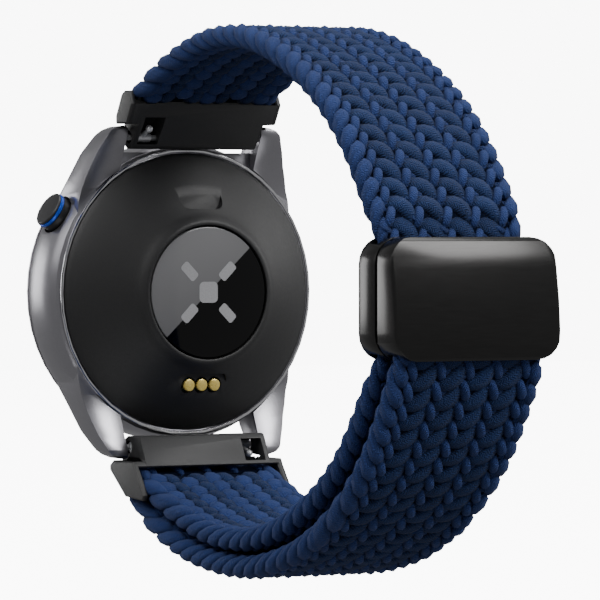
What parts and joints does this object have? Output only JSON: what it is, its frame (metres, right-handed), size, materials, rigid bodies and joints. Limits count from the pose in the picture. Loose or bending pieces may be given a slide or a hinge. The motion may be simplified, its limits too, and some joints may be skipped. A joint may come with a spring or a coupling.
{
  "type": "smartwatch on braided band",
  "caption": "Round smartwatch on a closed loop of flat braided cord, with matte connectors at the lugs and a glossy magnetic clasp.",
  "frame": {"origin": "centre of the sensor window's outer flat face, which rests on the wrist", "axes": "+Y out of the back of the watch into the wrist, +Z towards 12 o'clock, +X towards the side with the button"},
  "size_m": [0.0432, 0.0881, 0.0761],
  "materials": {
    "case_metal": "satin gunmetal",
    "chrome": "polished",
    "steel": "bright",
    "cover_black": "satin",
    "window": "polished",
    "display": "gloss",
    "sensor_tile": "gloss",
    "gold": "polished",
    "button_black": "satin",
    "button_blue": "gloss",
    "inner_plastic": "moulded",
    "battery_foil": "foil",
    "circuit_board": "solder mask",
    "rubber": "matte",
    "connector_grey": "matte",
    "clasp_black": "high gloss",
    "braid": "knitted cord"
  },
  "bodies": {
    "case": {"case_body": "case_metal", "bezel_ring": "case_metal", "front_glass": "window", "display_panel": "display", "chassis_frame": "inner_plastic", "battery_cell": "battery_foil", "main_board": "circuit_board", "board_screw_1": "steel", "board_screw_2": "steel", "board_screw_3": "steel", "board_screw_4": "steel", "vibration_motor": "steel", "speaker_box": "inner_plastic", "back_gasket": "rubber", "trim_ring": "chrome", "back_cover": "cover_black", "sensor_window": "window", "sensor_board": "circuit_board", "sensor_led_1": "sensor_tile", "sensor_led_2": "sensor_tile", "sensor_led_3": "sensor_tile", "sensor_led_4": "sensor_tile", "light_sensor": "sensor_tile", "charge_contact_1": "gold", "charge_contact_2": "gold", "charge_contact_3": "gold", "button_switch": "inner_plastic", "strap_upper": "braid", "strap_inner": "braid", "strap_outer": "braid"},
    "button": {"button_cap": "button_black", "button_ring": "button_blue", "button_stem": "steel"},
    "top_link": {"top_connector": "connector_grey", "top_bar_tube": "steel", "top_bar_tip": "steel", "top_bar_spring": "steel", "top_strap_pin": "steel"},
    "top_release": {"top_release_pin": "steel"},
    "bottom_link": {"bottom_connector": "connector_grey", "bottom_bar_tube": "steel", "bottom_bar_tip": "steel", "bottom_bar_spring": "steel", "bottom_strap_bar": "steel", "strap_fold": "braid"},
    "bottom_release": {"bottom_release_pin": "steel"},
    "clasp_slider": {"slider_shell": "clasp_black", "slider_magnet_1": "steel", "slider_magnet_2": "steel"},
    "clasp_flap": {"clasp_shell": "clasp_black", "clasp_magnet_1": "steel", "clasp_magnet_2": "steel", "strap_flap": "braid"}
  },
  "joints": [
    {"name": "button_press", "type": "slide", "parent": "case", "child": "button", "axis": [-0.8572, 0, -0.515], "range_m": [0, 0.0007], "stiffness_N_per_m": 2000},
    {"name": "top_swing", "type": "hinge", "parent": "case", "child": "top_link", "pos_m": [0, -0.0052, 0.0221], "axis": [1, 0, 0], "range_deg": [-8, 8], "stiffness_Nm_per_rad": 0.03, "deforming": ["strap_upper"]},
    {"name": "top_pin_slide", "type": "slide", "parent": "top_link", "child": "top_release", "axis": [-1, 0, 0], "range_m": [0, 0.0012], "stiffness_N_per_m": 400, "deforming": ["top_bar_spring"]},
    {"name": "bottom_swing", "type": "hinge", "parent": "case", "child": "bottom_link", "pos_m": [0, -0.0052, -0.0221], "axis": [1, 0, 0], "range_deg": [-8, 8], "stiffness_Nm_per_rad": 0.03, "deforming": ["strap_inner", "strap_outer"]},
    {"name": "bottom_pin_slide", "type": "slide", "parent": "bottom_link", "child": "bottom_release", "axis": [1, 0, 0], "range_m": [0, 0.0012], "stiffness_N_per_m": 400, "deforming": ["bottom_bar_spring"]},
    {"name": "slider_slide", "type": "slide", "parent": "case", "child": "clasp_slider", "axis": [0, 0, 1], "range_m": [-0.0025, 0.0025]},
    {"name": "clasp_open", "type": "hinge", "parent": "case", "child": "clasp_flap", "pos_m": [0, 0.0475, -0.0318], "axis": [-1, 0, 0], "range_deg": [0, 70], "deforming": ["strap_flap"]}
  ]
}
